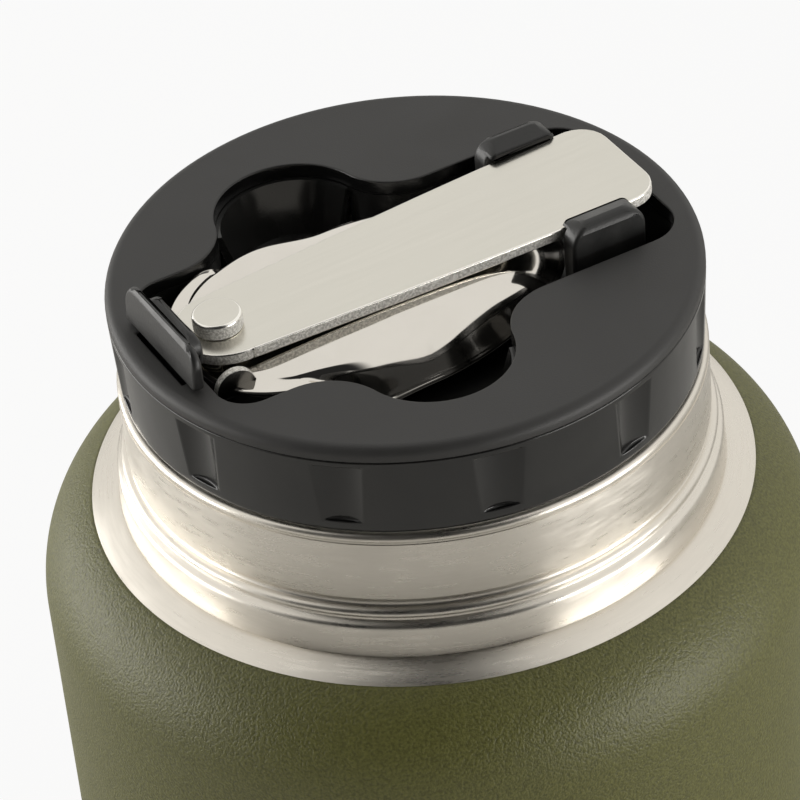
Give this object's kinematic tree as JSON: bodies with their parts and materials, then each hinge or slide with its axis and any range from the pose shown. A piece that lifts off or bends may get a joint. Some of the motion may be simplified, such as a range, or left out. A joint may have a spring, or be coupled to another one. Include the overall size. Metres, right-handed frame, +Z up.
{
  "type": "insulated food jar",
  "caption": "Wide vacuum food jar with a screw-in stopper; a slot in the stopper's deck holds a folding spoon, back up, under three sprung clips.",
  "frame": {"origin": "centre of the foot, on the surface the jar stands on", "axes": "+Z up along the jar's axis; +X along the stowed spoon towards the wide end of its handle; +Y towards the far side clip"},
  "size_m": [0.113, 0.113, 0.1717],
  "materials": {
    "brushed_steel": "brushed round the axis",
    "olive_coat": "fine-grained powder coat",
    "foot_rubber": "matt",
    "solder": "dull",
    "matt_black": "fine-textured matt",
    "gloss_black": "glossy",
    "foam": "closed-cell foam",
    "silicone": "translucent matt",
    "clip_black": "satin",
    "polished_steel": "mirror polished",
    "satin_steel": "satin"
  },
  "bodies": {
    "jar": {"outer_shell": "brushed_steel", "powder_coat": "olive_coat", "inner_vessel": "brushed_steel", "outer_base": "brushed_steel", "base_cover": "foot_rubber", "vacuum_seal": "solder", "getter": "solder"},
    "seal": {"gasket": "silicone"},
    "insulation": {"foam_core": "foam"},
    "stopper": {"lid_deck": "matt_black", "grip_ring": "gloss_black", "spoon_tray": "gloss_black", "stopper_plug": "matt_black"},
    "latch": {"rear_latch": "clip_black"},
    "near_hook": {"near_clip": "clip_black"},
    "far_hook": {"far_clip": "clip_black"},
    "spoon": {"spoon_bowl": "polished_steel", "rivet": "satin_steel", "rivet_washer": "satin_steel"},
    "handle": {"spoon_handle": "satin_steel"}
  },
  "joints": [
    {"name": "stopper_liftoff", "type": "slide", "parent": "jar", "child": "seal", "axis": [0, 0, 1], "range_m": [0, 0.06]},
    {"name": "thread_lift", "type": "slide", "parent": "seal", "child": "insulation", "axis": [0, 0, 1], "range_m": [0, 0.009]},
    {"name": "stopper_turn", "type": "hinge", "parent": "insulation", "child": "stopper", "pos_m": [0, 0, 0.15], "axis": [0, 0, 1], "range_deg": [0, 450]},
    {"name": "rear_latch_flex", "type": "hinge", "parent": "stopper", "child": "latch", "pos_m": [-0.0364, 0, 0.15555], "axis": [0, -1, 0], "range_deg": [0, 5], "stiffness_Nm_per_rad": 1},
    {"name": "near_clip_flex", "type": "hinge", "parent": "stopper", "child": "near_hook", "pos_m": [0.02545, -0.01205, 0.1563], "axis": [1, 0, 0], "range_deg": [0, 5], "stiffness_Nm_per_rad": 1.5},
    {"name": "far_clip_flex", "type": "hinge", "parent": "stopper", "child": "far_hook", "pos_m": [0.02545, 0.01205, 0.1563], "axis": [-1, 0, 0], "range_deg": [0, 5], "stiffness_Nm_per_rad": 1.5},
    {"name": "spoon_liftoff", "type": "slide", "parent": "stopper", "child": "spoon", "axis": [0, 0, 1], "range_m": [0, 0.08]},
    {"name": "handle_unfold", "type": "hinge", "parent": "spoon", "child": "handle", "pos_m": [-0.029, 0, 0.16475], "axis": [-0.0244, 0, 0.9997], "range_deg": [0, 180]}
  ],
  "couplings": [
    {"joint": "stopper_turn", "follows": "thread_lift", "rad_per_m": 872.66},
    {"joint": "handle_unfold", "follows": "spoon_liftoff", "rad_per_m": 39.269}
  ]
}
